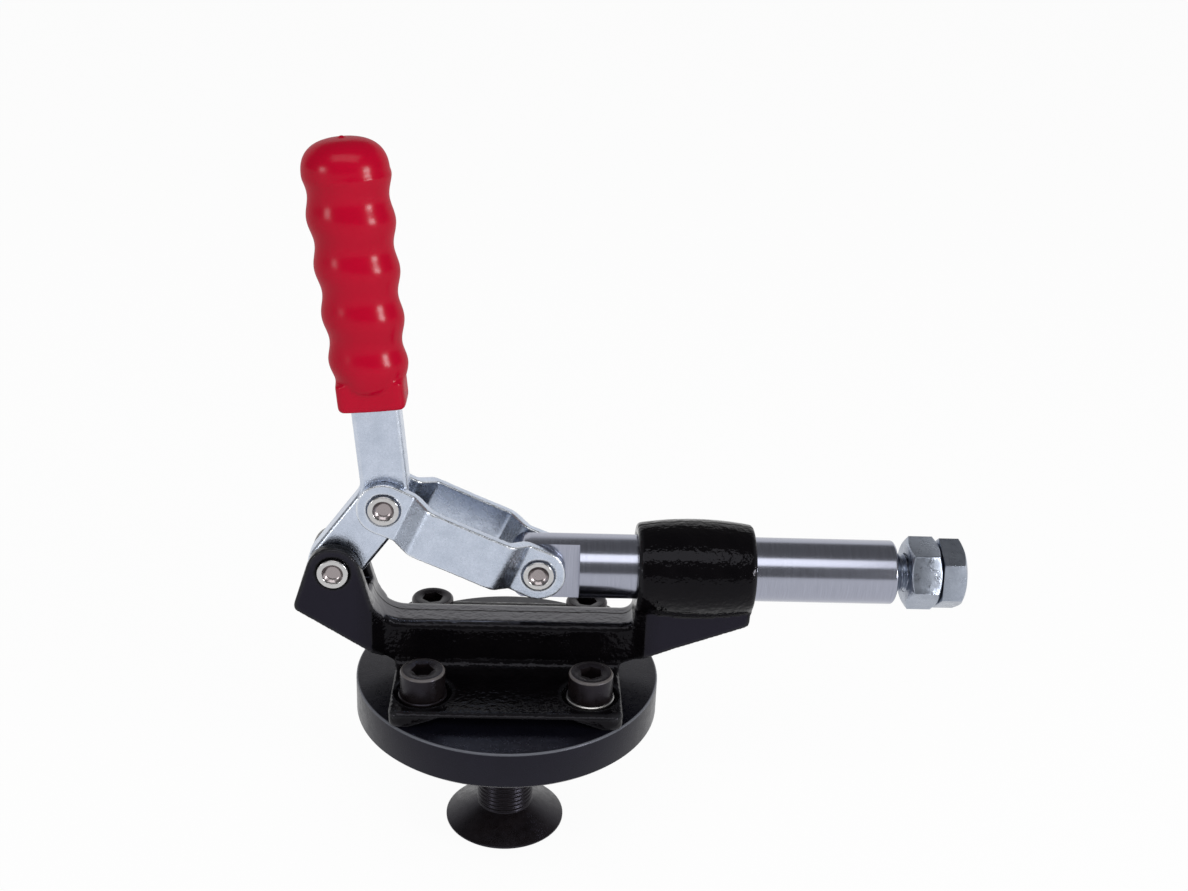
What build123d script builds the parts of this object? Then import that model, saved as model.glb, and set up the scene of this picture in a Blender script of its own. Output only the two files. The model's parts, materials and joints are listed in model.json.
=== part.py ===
from build123d import *
import os
from math import acos, atan2, cos, degrees, hypot, pi, radians, sin, sqrt, tan

# A push-pull toggle clamp on a round mounting disc.
# The origin is the centre of the disc's underside. +X runs along the plunger towards its
# clamping tip, +Z is up, and the linkage works in the XZ plane. Lengths are in millimetres.

# ---- Driving dimensions ----

# Mounting disc
disc_diameter = 94.0
disc_thickness = 12.0
disc_chamfer = 0.8

# Cast frame: flange
flange_length = 69.0
flange_depth = 69.0
flange_thickness = 4.8
flange_corner_radius = 3.5
flange_edge_bevel = 0.9
screw_spacing_x = 50.0
screw_spacing_y = 44.5
spot_face_diameter = 17.0
spot_face_depth = 1.4
undercut_foot_length = 57.0
undercut_lip_length = 38.0
undercut_depth = 7.0
undercut_lip_thickness = 1.3

# Cast frame: web, fork and guide boss
web_thickness = 14.0
web_height = 19.4
web_edge_radius = 2.4
web_root_radius = 3.0
fork_thickness = 17.6
fork_cheek_radius = 8.0
fork_heel_back = 12.4
fork_heel_drop = 12.3
fork_heel_radius = 2.0
fork_front_slope = 16.0
fork_throat_radius = 10.0
fork_waist_gap = 14.5
waist_slope = 3.5
nose_setback = 0.4
nose_top_drop = 11.0
nose_height = 4.4
nose_corner_radius = 2.2
rib_start_height = 1.2
rib_bend_back = 22.5
rib_bend_height = 12.8
boss_centre_x = 56.2
boss_length = 35.6
boss_middle_diameter = 30.1
boss_end_diameter = 27.0
boss_edge_bevel = 0.6
boss_root_radius = 3.5

# Linkage, with the lever where it stands at rest
axis_height = 36.6
frame_pivot_x = -52.6
arm_length = 25.4
link_length = 50.4
arm_angle = 53.4
bar_angle = 95.6

# Handle lever
lever_thickness = 8.0
lever_heel_radius = 8.3
arm_right_half_width = 7.85
bar_width = 14.2
bar_shift = 0.6
bar_length = 101.0
lever_edge_bevel = 0.9
lever_bend_radius = 8.0

# Links
link_thickness = 3.0
link_end_radius = 8.15
link_waist = 0.5
link_inner_gap = 20.4
joggle_start = 7.6
joggle_run = 5.4

# Pivot pins
pin_diameter = 8.0
pin_head_diameter = 9.4
pin_head_height = 0.8
pin_dish_diameter = 6.2
pin_dish_depth = 0.6
pin_sink_depth = 1.0
pin_sink_gap = 0.35

# Grip
grip_start = 30.8
grip_length = 78.0
collar_width = 19.9
collar_depth = 14.5
collar_height = 7.0
collar_corner_radius = 2.6
grip_mean_width = 21.4
grip_taper = 0.045
grip_ripple = 1.25
grip_pitch = 14.0
grip_first_ridge = 12.8
grip_ridges = 5
grip_top_width = 24.2
grip_crest = 4.4
grip_neck_width = 20.6
grip_neck_overlap = 2.0

# Plunger
plunger_diameter = 19.6
plunger_reach = 108.9
plunger_chamfer = 1.0
tongue_back = 8.6
tongue_front = 12.3
tongue_corner_radius = 7.0
tongue_slot_length = 15.3
tongue_slot_height = 11.0
tongue_slot_shift = 0.45
tongue_slot_rise = -0.1

# Spindle bolt and lock nut
spindle_diameter = 12.0
spindle_thread_engagement = 24.0
spindle_hole_spare = 8.0
hexagon_across_flats = 19.5
bolt_head_height = 7.3
nut_height = 9.8
nut_gap = 0.2
thread_showing = 3.7
hexagon_chamfer_diameter = 18.2
nut_flat_rise = 22.5
bolt_head_flat_rise = 9.0

# Flange screws and their washers
screw_diameter = 8.0
screw_head_diameter = 13.4
screw_head_height = 8.0
screw_head_bevel = 0.7
screw_socket_across_flats = 6.0
screw_socket_depth = 4.5
screw_length = 14.0
washer_diameter = 14.5
washer_thickness = 1.2
washer_hole_diameter = 8.4
flange_hole_diameter = 9.0

# Clamping screw under the disc
clamping_screw_diameter = 18.0
clamping_screw_shank = 37.1
clamping_screw_engagement = 9.5
clamping_head_diameter = 38.0
clamping_cone_height = 5.2
clamping_rim_height = 0.9
clamping_socket_across_flats = 12.0
clamping_socket_depth = 8.0
clamping_thread_spare = 1.0

# Fits
running_clearance = 0.05
thread_clearance = 0.05
side_clearance = 0.3
stop_clearance = 0.4
heel_clearance = 0.8

# ---- Derived places ----

flange_bottom = disc_thickness
flange_top = flange_bottom + flange_thickness
web_top = flange_bottom + web_height
axis_z = flange_bottom + axis_height
boss_left = boss_centre_x - boss_length / 2
boss_right = boss_centre_x + boss_length / 2
nose_x = boss_right - nose_setback

frame_pivot = (frame_pivot_x, axis_z)
link_pivot = (
    frame_pivot_x + arm_length * cos(radians(arm_angle)),
    axis_z + arm_length * sin(radians(arm_angle)),
)
link_drop = link_pivot[1] - axis_z
plunger_pivot = (link_pivot[0] + sqrt(link_length**2 - link_drop**2), axis_z)
link_direction = degrees(atan2(-link_drop, plunger_pivot[0] - link_pivot[0]))

plunger_tip = plunger_pivot[0] + plunger_reach
tongue_shoulder = plunger_pivot[0] + tongue_front
nut_start = plunger_tip + thread_showing
head_start = nut_start + nut_height + nut_gap

slot_width = lever_thickness + 2 * side_clearance
slot_floor = axis_z - arm_right_half_width - stop_clearance
link_end_inner = lever_thickness / 2 + side_clearance
link_end_outer = link_end_inner + link_thickness
screw_seat = flange_top - spot_face_depth
screw_places = [
    (-screw_spacing_x / 2, -screw_spacing_y / 2),
    (screw_spacing_x / 2, -screw_spacing_y / 2),
    (-screw_spacing_x / 2, screw_spacing_y / 2),
    (screw_spacing_x / 2, screw_spacing_y / 2),
]


on_base = (Align.CENTER, Align.CENTER, Align.MIN)
from_top = (Align.CENTER, Align.CENTER, Align.MAX)

# ---- Small helpers ----


def side_view(outline):
    """Lay a sketch drawn in (X, Z) on the XZ plane."""
    return Plane.XZ * outline


def plate(outline, thickness):
    """Extrude a side-view outline equally to both sides of the XZ plane."""
    return extrude(side_view(outline), amount=thickness / 2, both=True)


def cross_rod(place, diameter, length):
    """A round bar along Y through a point of the side view."""
    rod = Cylinder(diameter / 2, length, rotation=(90, 0, 0))
    return Pos(place[0], 0, place[1]) * rod


def round_corners(outline, places, radius):
    """Round the outline's corners that lie nearest to the given points."""
    for place in places:
        corner = outline.vertices().sort_by_distance(Vector(place[0], place[1], 0))[0]
        outline = fillet(corner, radius)
    return outline


def polar(centre, radius, angle):
    return (
        centre[0] + radius * cos(radians(angle)),
        centre[1] + radius * sin(radians(angle)),
    )


def tangent_angle(corner, centre, radius, side):
    """Direction from the centre to the point where a line from the corner touches the circle."""
    distance = hypot(corner[0] - centre[0], corner[1] - centre[1])
    towards = degrees(atan2(corner[1] - centre[1], corner[0] - centre[0]))
    return towards + side * degrees(acos(radius / distance))


def crossing(point_a, angle_a, point_b, angle_b):
    """Where two lines of the side view cross."""
    ax, az = cos(radians(angle_a)), sin(radians(angle_a))
    bx, bz = cos(radians(angle_b)), sin(radians(angle_b))
    dx, dz = point_b[0] - point_a[0], point_b[1] - point_a[1]
    along = (dx * bz - dz * bx) / (ax * bz - az * bx)
    return (point_a[0] + along * ax, point_a[1] + along * az)


def hexagon_prism(across_flats, height, turn=0.0):
    outline = RegularPolygon(across_flats / 2, 6, major_radius=False, rotation=turn)
    return extrude(outline, amount=height)


# ---- Frame casting ----


def frame_outline():
    """Side view of the web with its fork and nose, flange and boss left out."""
    heel = (frame_pivot_x - fork_heel_back, axis_z - fork_heel_drop)
    left_angle = tangent_angle(heel, frame_pivot, fork_cheek_radius, -1)
    right_angle = fork_front_slope
    left_touch = polar(frame_pivot, fork_cheek_radius, left_angle)
    cheek_top = polar(frame_pivot, fork_cheek_radius, 90)
    right_touch = polar(frame_pivot, fork_cheek_radius, right_angle)
    throat = crossing(right_touch, right_angle - 90, (0, web_top), 0)
    boss_root = (boss_left, web_top)
    nose_top = (nose_x, axis_z - nose_top_drop)
    nose_foot = (nose_x, nose_top[1] - nose_height)
    rib_bend = (nose_x - rib_bend_back, flange_bottom + rib_bend_height)
    rib_start = (flange_length / 2, flange_top + rib_start_height)
    edges = [
        Line(heel, left_touch),
        ThreePointArc(left_touch, cheek_top, right_touch),
        Polyline(
            right_touch,
            throat,
            boss_root,
            (boss_left, axis_z),
            (boss_right, axis_z),
            (boss_right, nose_top[1]),
            nose_top,
            nose_foot,
            rib_bend,
            rib_start,
            (flange_length / 2, flange_bottom),
            (-flange_length / 2, flange_bottom),
            (-flange_length / 2, flange_top),
            heel,
        ),
    ]
    outline = make_face(edges)
    outline = round_corners(outline, [throat], fork_throat_radius)
    outline = round_corners(outline, [boss_root], boss_root_radius)
    outline = round_corners(outline, [nose_foot], nose_corner_radius)
    return round_corners(outline, [heel], fork_heel_radius)


def web_core(outline):
    """The thin middle of the casting, with rounded upper edges."""
    core = plate(outline, web_thickness)
    level = core.edges().filter_by(GeomType.LINE).filter_by(Axis.X)
    rims = level.filter_by_position(Axis.Z, web_top - 0.01, web_top + 0.01)
    return fillet(rims, web_edge_radius)


def end_block(outline, inner_x, outer_x):
    """Thicker fork or nose end of the casting, tapering to the web at its inner face."""
    outwards = 1 if outer_x > inner_x else -1
    full_x = inner_x + outwards * waist_slope
    wide, narrow = fork_thickness / 2, web_thickness / 2
    plan = Polyline(
        (inner_x, -narrow),
        (full_x, -wide),
        (outer_x, -wide),
        (outer_x, wide),
        (full_x, wide),
        (inner_x, narrow),
        close=True,
    )
    reach = Pos(0, 0, flange_bottom) * extrude(make_face(plan), amount=2 * axis_height)
    return plate(outline, fork_thickness) & reach


def lever_slot():
    """Room between the fork's cheeks for the lever plate, hollowed round its heel."""
    length = fork_heel_back + fork_waist_gap
    height = slot_floor - flange_bottom
    centre_x = frame_pivot_x + (fork_waist_gap - fork_heel_back) / 2
    room = Pos(centre_x, 0, slot_floor + height / 2) * Box(length + 2, slot_width, height)
    heel_room = cross_rod(frame_pivot, 2 * (lever_heel_radius + heel_clearance), slot_width)
    return room + heel_room


def pivot_bore(place, outer_face):
    """Bore for a pivot pin through two walls, with a shallow sink for each riveted head."""
    bore = cross_rod(place, pin_diameter + 2 * running_clearance, 2 * outer_face + 2)
    sink_diameter = pin_head_diameter + 2 * pin_sink_gap
    for side in (-1, 1):
        sink = cross_rod(place, sink_diameter, 2 * pin_sink_depth)
        bore += Pos(0, side * outer_face, 0) * sink
    return bore


def boss_barrel():
    """Barrel round the plunger, fattest at its middle."""
    end_radius = boss_end_diameter / 2
    top = Vector(boss_centre_x, axis_z + boss_middle_diameter / 2)
    edges = [
        Polyline((boss_right, axis_z + end_radius), (boss_right, axis_z), (boss_left, axis_z)),
        Line((boss_left, axis_z), (boss_left, axis_z + end_radius)),
        ThreePointArc((boss_left, axis_z + end_radius), top, (boss_right, axis_z + end_radius)),
    ]
    half = side_view(make_face(edges))
    barrel = revolve(half, Axis((0, 0, axis_z), (1, 0, 0)))
    rims = barrel.edges().filter_by(GeomType.CIRCLE).sort_by(Axis.X)
    return chamfer([rims[0], rims[-1]], boss_edge_bevel)


def flange():
    plate_solid = extrude(
        RectangleRounded(flange_length, flange_depth, flange_corner_radius),
        amount=flange_thickness,
    )
    top_rim = plate_solid.faces().sort_by(Axis.Z)[-1].edges()
    return Pos(0, 0, flange_bottom) * chamfer(top_rim, flange_edge_bevel)


def edge_undercut(side):
    """Sloping hollow under a long edge of the flange, between its screw corners."""
    top = flange_top - undercut_lip_thickness
    foot, lip = undercut_foot_length / 2, undercut_lip_length / 2
    front = Polyline(
        (-foot, flange_bottom), (foot, flange_bottom), (lip, top), (-lip, top), close=True
    )
    edge = flange_depth / 2
    section = Polyline(
        (edge - undercut_depth, flange_bottom), (edge, flange_bottom), (edge, top), close=True
    )
    wedge = extrude(Plane.YZ * make_face(section), amount=flange_length, both=True)
    hollow = wedge & extrude(side_view(make_face(front)), amount=flange_depth, both=True)
    return hollow if side > 0 else mirror(hollow, about=Plane.XZ)


def web_roots():
    """Hollow coves where the web's two flanks meet the top of the flange."""
    coves = Pos(0, 0, flange_top) * Box(
        flange_length, web_thickness + 2 * web_root_radius, web_root_radius, align=on_base
    )
    for side in (-1, 1):
        hollow = Cylinder(web_root_radius, 2 * flange_length, rotation=(0, 90, 0))
        centre_y = side * (web_thickness / 2 + web_root_radius)
        coves -= Pos(0, centre_y, flange_top + web_root_radius) * hollow
    return coves


def make_frame():
    outline = frame_outline()
    body = web_core(outline)
    body += end_block(outline, frame_pivot_x + fork_waist_gap, frame_pivot_x - 2 * fork_heel_back)
    body += end_block(outline, boss_left, nose_x + boss_length)
    body += flange() + web_roots()
    body += boss_barrel()
    for side in (-1, 1):
        body -= edge_undercut(side)
    body -= lever_slot()
    body -= pivot_bore(frame_pivot, fork_thickness / 2)
    bore_diameter = plunger_diameter + 2 * running_clearance
    body -= Pos(boss_centre_x, 0, axis_z) * Cylinder(
        bore_diameter / 2, boss_length + 10, rotation=(0, 90, 0)
    )
    for x, y in screw_places:
        body -= Pos(x, y, flange_bottom) * Cylinder(flange_hole_diameter / 2, 4 * flange_thickness)
        body -= Pos(x, y, screw_seat + flange_thickness) * Cylinder(
            spot_face_diameter / 2, 2 * flange_thickness
        )
    return body


# ---- Disc, screws and washers ----


def make_base_disc():
    disc = Pos(0, 0, disc_thickness / 2) * Cylinder(disc_diameter / 2, disc_thickness)
    rims = disc.edges().filter_by(GeomType.CIRCLE)
    disc = chamfer(rims, disc_chamfer)
    disc -= Cylinder(clamping_screw_diameter / 2 + thread_clearance, 3 * disc_thickness)
    tapped_depth = screw_length - (screw_seat + washer_thickness - disc_thickness)
    for x, y in screw_places:
        disc -= Pos(x, y, disc_thickness) * Cylinder(
            screw_diameter / 2 + thread_clearance, 2 * tapped_depth
        )
    return disc


def make_flange_screw(x, y):
    head_bottom = screw_seat + washer_thickness
    head = Cylinder(screw_head_diameter / 2, screw_head_height, align=on_base)
    top_rim = head.edges().filter_by(GeomType.CIRCLE).sort_by(Axis.Z)[-1]
    head = chamfer(top_rim, screw_head_bevel)
    socket = hexagon_prism(screw_socket_across_flats, screw_head_height)
    head -= Pos(0, 0, screw_head_height - screw_socket_depth) * socket
    shank = Cylinder(screw_diameter / 2, screw_length, align=from_top)
    return Pos(x, y, head_bottom) * (head + shank)


def make_flange_washer(x, y):
    ring = Cylinder(washer_diameter / 2, washer_thickness, align=on_base)
    ring -= Cylinder(washer_hole_diameter / 2, washer_thickness, align=on_base)
    return Pos(x, y, screw_seat) * ring


def make_clamping_screw():
    """Countersunk screw, head down, that reaches through the slot of a table."""
    head_top = -clamping_screw_shank
    rim_top = head_top - clamping_cone_height
    head_bottom = rim_top - clamping_rim_height
    shank_radius = clamping_screw_diameter / 2
    head_radius = clamping_head_diameter / 2
    half = Polyline(
        (0, clamping_screw_engagement),
        (shank_radius - clamping_thread_spare, clamping_screw_engagement),
        (shank_radius, clamping_screw_engagement - clamping_thread_spare),
        (shank_radius, head_top),
        (head_radius, rim_top),
        (head_radius, head_bottom),
        (0, head_bottom),
        close=True,
    )
    screw = revolve(side_view(make_face(half)), Axis.Z)
    socket = hexagon_prism(clamping_socket_across_flats, clamping_socket_depth)
    return screw - Pos(0, 0, head_bottom) * socket


# ---- Linkage ----


def make_pivot_pin(place, outer_face):
    """Riveted pin: a shank with a dished head sunk a little into each outer face."""
    shank_radius = pin_diameter / 2
    head_radius = pin_head_diameter / 2
    sink_floor = outer_face - pin_sink_depth
    head_end = outer_face + pin_head_height
    edge = pin_head_height / 2
    side = [
        (shank_radius, sink_floor),
        (head_radius, sink_floor),
        (head_radius, head_end - edge),
        (head_radius - edge, head_end),
        (pin_dish_diameter / 2, head_end),
        (0, head_end - pin_dish_depth),
    ]
    other_side = [(radius, -distance) for radius, distance in reversed(side)]
    pin = revolve(make_face(Polyline(side + other_side, close=True)), Axis.Y)
    return Pos(place[0], 0, place[1]) * pin


def make_handle_lever():
    """One plate: crank arm from the frame pivot to the link pivot, then the bar of the grip."""
    arm_left = polar(frame_pivot, lever_heel_radius, arm_angle + 90)
    arm_right = polar(frame_pivot, arm_right_half_width, arm_angle - 90)
    bar_left = polar(link_pivot, bar_width / 2 - bar_shift, bar_angle + 90)
    bar_right = polar(link_pivot, bar_width / 2 + bar_shift, bar_angle - 90)
    back_bend = crossing(arm_left, arm_angle, bar_left, bar_angle)
    front_bend = crossing(arm_right, arm_angle, bar_right, bar_angle)
    outline = make_face(
        Polyline(
            frame_pivot,
            arm_left,
            back_bend,
            polar(bar_left, bar_length, bar_angle),
            polar(bar_right, bar_length, bar_angle),
            front_bend,
            arm_right,
            close=True,
        )
    )
    outline = round_corners(outline, [back_bend], lever_bend_radius)
    outline = round_corners(outline, [front_bend], lever_bend_radius / 2)
    outline += Pos(*frame_pivot) * Circle(lever_heel_radius)
    lever = plate(outline, lever_thickness)
    flanks = lever.faces().sort_by(Axis.Y)
    lever = chamfer(flanks[0].edges() + flanks[-1].edges(), lever_edge_bevel)
    for place in (frame_pivot, link_pivot):
        lever -= cross_rod(place, pin_diameter + 2 * running_clearance, 2 * lever_thickness)
    return lever


def link_strip():
    """Edge view of a link: a flat strip joggled outwards between its two ends."""
    middle_inner = link_inner_gap / 2
    lift = middle_inner - link_end_inner
    slope = atan2(lift, joggle_run)
    lag = link_thickness * tan(slope / 2)
    near = joggle_start
    far = link_length - joggle_start
    inner = [
        (-2 * link_end_radius, link_end_inner),
        (near, link_end_inner),
        (near + joggle_run, middle_inner),
        (far - joggle_run, middle_inner),
        (far, link_end_inner),
        (link_length + 2 * link_end_radius, link_end_inner),
    ]
    shifts = (0, -lag, -lag, lag, lag, 0)
    outer = [(x + shift, y + link_thickness) for (x, y), shift in zip(inner, shifts)]
    strip = make_face(Polyline(inner + outer[::-1], close=True))
    tight = link_thickness / 2
    wide = link_thickness + tight
    strip = round_corners(strip, [inner[1], inner[4], outer[2], outer[3]], wide)
    return round_corners(strip, [inner[2], inner[3], outer[1], outer[4]], tight)


def link_outline():
    """Side view of a link in its own frame: two round eyes joined by a slightly waisted body."""
    eyes = Circle(link_end_radius) + Pos(link_length, 0) * Circle(link_end_radius)
    half = link_end_radius - link_waist
    middle = link_length / 2
    edges = [
        ThreePointArc((0, link_end_radius), (middle, half), (link_length, link_end_radius)),
        Line((link_length, link_end_radius), (link_length, -link_end_radius)),
        ThreePointArc((link_length, -link_end_radius), (middle, -half), (0, -link_end_radius)),
        Line((0, -link_end_radius), (0, link_end_radius)),
    ]
    return eyes + make_face(edges)


def make_link(side):
    """A link between the lever and the plunger, on the front (-1) or rear (+1) side."""
    strip = extrude(link_strip(), amount=2 * link_end_radius, both=True)
    link = strip & plate(link_outline(), link_inner_gap + 4 * link_thickness)
    for x in (0, link_length):
        link -= pivot_bore((x, 0), link_end_outer)
    if side < 0:
        link = mirror(link, about=Plane.XZ)
    return Pos(link_pivot[0], 0, link_pivot[1]) * Rot(0, -link_direction, 0) * link


def make_plunger():
    start = plunger_pivot[0] - tongue_back
    length = plunger_tip - start
    plunger = Cylinder(plunger_diameter / 2, length, rotation=(0, 90, 0))
    plunger = Pos(start + length / 2, 0, axis_z) * plunger
    nose = plunger.edges().filter_by(GeomType.CIRCLE).sort_by(Axis.X)[-1]
    plunger = chamfer(nose, plunger_chamfer)
    flat_length = tongue_shoulder - start
    for side in (-1, 1):
        cut = Box(2 * flat_length, plunger_diameter, 2 * plunger_diameter)
        plunger -= Pos(start, side * (lever_thickness + plunger_diameter) / 2, axis_z) * cut
    end_form = RectangleRounded(2 * length, plunger_diameter, tongue_corner_radius)
    plunger &= Pos(start + length, 0, axis_z) * plate(end_form, 2 * plunger_diameter)
    slot = RectangleRounded(tongue_slot_length, tongue_slot_height, pin_diameter / 2 + running_clearance)
    plunger -= Pos(plunger_pivot[0] + tongue_slot_shift, 0, axis_z + tongue_slot_rise) * plate(
        slot, plunger_diameter
    )
    hole_depth = spindle_thread_engagement + spindle_hole_spare
    hole = Cylinder(spindle_diameter / 2 + thread_clearance, 2 * hole_depth, rotation=(0, 90, 0))
    return plunger - Pos(plunger_tip, 0, axis_z) * hole


# ---- Spindle bolt and lock nut ----


def bevelled_hexagon(height, both_ends, flat_rise):
    """Hexagon on Z = 0 with its corners bevelled at the far end, or at both ends.

    Once it lies along the plunger, one flat faces the front, tilted up by flat_rise degrees.
    """
    corner_radius = hexagon_across_flats / 2 / cos(pi / 6)
    bevel = (corner_radius - hexagon_chamfer_diameter / 2) * tan(pi / 6)
    start_radius = hexagon_chamfer_diameter / 2 if both_ends else corner_radius
    start_bevel = bevel if both_ends else 0.0
    half = Polyline(
        (0, 0),
        (start_radius, 0),
        (corner_radius, start_bevel + 0.001),
        (corner_radius, height - bevel),
        (hexagon_chamfer_diameter / 2, height),
        (0, height),
        close=True,
    )
    round_form = revolve(side_view(make_face(half)), Axis.Z)
    return round_form & hexagon_prism(hexagon_across_flats, height, -flat_rise)


def along_plunger(solid, start):
    """Turn a solid built along +Z so that it lies along the plunger from a given X."""
    return Pos(start, 0, axis_z) * Rot(0, 90, 0) * solid


def make_spindle_bolt():
    shank_length = thread_showing + nut_height + nut_gap + spindle_thread_engagement
    shank = Cylinder(spindle_diameter / 2, shank_length, align=from_top)
    tip = shank.edges().filter_by(GeomType.CIRCLE).sort_by(Axis.Z)[0]
    shank = chamfer(tip, plunger_chamfer)
    head = bevelled_hexagon(bolt_head_height, False, bolt_head_flat_rise)
    return along_plunger(shank + head, head_start)


def make_lock_nut():
    nut = bevelled_hexagon(nut_height, True, nut_flat_rise)
    nut -= Cylinder(spindle_diameter / 2 + thread_clearance, 3 * nut_height)
    return along_plunger(nut, nut_start)


# ---- Grip ----


def grip_width(distance):
    """Width of the grip at a distance from its lower end, ridges and hollows included."""
    phase = 2 * pi * (distance - grip_first_ridge) / grip_pitch
    return grip_mean_width + grip_taper * (distance - grip_first_ridge) + grip_ripple * cos(phase)


def grip_outline():
    """Half of the grip's outline, as radius and distance from its lower end."""
    neck = collar_height - grip_neck_overlap
    points = [(0, neck), (grip_neck_width / 2, neck)]
    ridges = [grip_first_ridge + number * grip_pitch for number in range(grip_ridges)]
    for ridge in ridges:
        hollow = ridge - grip_pitch / 2
        if hollow > collar_height:
            points.append((grip_width(hollow) / 2, hollow))
        crest_width = grip_top_width if ridge == ridges[-1] else grip_width(ridge)
        points.append((crest_width / 2, ridge - grip_crest / 2))
        points.append((crest_width / 2, ridge + grip_crest / 2))
    dome_radius, dome_start = points[-1]
    dome_height = grip_length - dome_start
    for turn in (35, 60, 78):
        height = dome_start + dome_height * sin(radians(turn))
        points.append((dome_radius * cos(radians(turn)), height))
    return points + [(0, grip_length)]


def make_grip(lever):
    body = revolve(side_view(make_face(Polyline(grip_outline(), close=True))), Axis.Z)
    collar = extrude(
        RectangleRounded(collar_width, collar_depth, collar_corner_radius), amount=collar_height
    )
    place = Pos(link_pivot[0], 0, link_pivot[1]) * Rot(0, 90 - bar_angle, 0) * Pos(0, 0, grip_start)
    return place * (body + collar) - lever


# ---- Build every piece and write one file each ----


def make_all():
    lever = make_handle_lever()
    pieces = {
        "frame": make_frame(),
        "base_disc": make_base_disc(),
        "clamping_screw": make_clamping_screw(),
        "frame_pivot_pin": make_pivot_pin(frame_pivot, fork_thickness / 2),
        "link_pin": make_pivot_pin(link_pivot, link_end_outer),
        "plunger_pin": make_pivot_pin(plunger_pivot, link_end_outer),
        "handle_lever": lever,
        "grip": make_grip(lever),
        "front_link": make_link(-1),
        "rear_link": make_link(1),
        "plunger": make_plunger(),
        "spindle_bolt": make_spindle_bolt(),
        "lock_nut": make_lock_nut(),
    }
    for number, (x, y) in enumerate(screw_places, start=1):
        pieces[f"flange_screw_{number}"] = make_flange_screw(x, y)
        pieces[f"flange_washer_{number}"] = make_flange_washer(x, y)
    return pieces


os.makedirs("parts", exist_ok=True)
for name, solid in make_all().items():
    export_step(solid, f"parts/{name}.step")
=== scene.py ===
import json
import math

import bmesh
import bpy
import numpy as np
from mathutils import Matrix, Vector


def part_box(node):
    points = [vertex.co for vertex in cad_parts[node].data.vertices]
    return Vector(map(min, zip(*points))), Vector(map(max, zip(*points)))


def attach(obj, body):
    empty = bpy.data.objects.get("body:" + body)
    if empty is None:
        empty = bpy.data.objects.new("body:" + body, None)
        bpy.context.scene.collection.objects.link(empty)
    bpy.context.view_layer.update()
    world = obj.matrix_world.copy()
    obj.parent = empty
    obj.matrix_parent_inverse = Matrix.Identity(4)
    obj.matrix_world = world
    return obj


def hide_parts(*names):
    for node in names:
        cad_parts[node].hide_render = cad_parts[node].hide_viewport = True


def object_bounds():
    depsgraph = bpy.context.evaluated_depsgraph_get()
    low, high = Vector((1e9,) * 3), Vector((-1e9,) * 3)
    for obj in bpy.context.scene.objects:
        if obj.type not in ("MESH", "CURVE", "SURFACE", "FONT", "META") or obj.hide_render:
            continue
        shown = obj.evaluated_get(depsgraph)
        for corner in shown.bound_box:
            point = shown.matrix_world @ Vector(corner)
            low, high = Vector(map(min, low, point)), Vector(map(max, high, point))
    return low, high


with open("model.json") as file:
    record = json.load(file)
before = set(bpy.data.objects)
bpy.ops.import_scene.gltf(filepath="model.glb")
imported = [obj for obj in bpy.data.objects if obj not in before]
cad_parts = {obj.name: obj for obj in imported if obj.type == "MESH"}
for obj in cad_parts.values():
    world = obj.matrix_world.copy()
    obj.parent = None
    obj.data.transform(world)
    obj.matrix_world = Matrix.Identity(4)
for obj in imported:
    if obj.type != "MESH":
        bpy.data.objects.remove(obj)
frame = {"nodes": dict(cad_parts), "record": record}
cad_low, cad_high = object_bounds()

# A push-pull toggle clamp on a round mounting disc, seen by the camera of its photograph.
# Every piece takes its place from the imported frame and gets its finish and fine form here.
# Lengths are in metres, small ones written as millimetres times MM. Angles are in degrees.

MM = 0.001

# ---- Photograph's frame ----

IMAGE_WIDTH = 1188
FOCAL_PIXELS = 1470.17
SENSOR_WIDTH = 36.0
CAMERA_PLACE = Vector((0.003399, -0.399516, 0.256018))
CAMERA_RIGHT = Vector((0.9985515, -0.0336830, 0.0419567))
CAMERA_UP = Vector((-0.0256295, 0.3878718, 0.9213569))
CAMERA_NEAR = 0.01

# ---- Stage ----

FLOOR_SIZE = 14.0
FLOOR_DROP = 5.2 * MM
FLOOR_WHITE = (0.90, 0.90, 0.90)
FLOOR_GLOW = 0.955
AMBIENT = 0.36
STUDIO_DARK = 0.18
BACKDROP_DEPTH = (0.1, 0.6)
BACKDROP_HEIGHT = (0.46, 0.70)
LAMP_AIM = (0.03, 0.0, 0.06)
# Name, place, width and height, radiance
LAMPS = (
    ("overhead", (0.0, -0.74, 1.09), (1.3, 0.62), 2.4),
    ("right_box", (0.78, -0.62, 0.26), (0.25, 0.19), 32.0),
    ("left_box", (-0.78, -0.62, 0.26), (0.23, 0.17), 14.0),
)

# ---- Finishes: linear colours, and roughness from low to high ----

BLACK = (0.0, 0.0, 0.0)
WHITE = (1.0, 1.0, 1.0)
NOISE_SPAN = (0.3, 0.7)

# Enamel of the casting
ENAMEL_TONES = ((0.0008, 0.0007, 0.0010), (0.0034, 0.0028, 0.0034))
ENAMEL_ROUGHNESS = (0.05, 0.13)
ENAMEL_SHINE = 0.11
ENAMEL_TINT = (0.90, 0.89, 1.0)
ENAMEL_PEEL = 0.26 * MM
# Edge colour and its share: worn enamel and a painted highlight
ENAMEL_EDGE_WEAR_AND_HIGHLIGHT = (0.030, 0.030, 0.034)
ENAMEL_WEAR_AND_HIGHLIGHT = 0.6
GROUND_TONE = (0.0092, 0.0082, 0.0145)
GROUND_ROUGHNESS = 0.30
GROUND_PEEL = 0.12
THROAT_SHINE = 0.95
THROAT_PEEL = 0.45
PARTING_SHINE = 0.05

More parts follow.
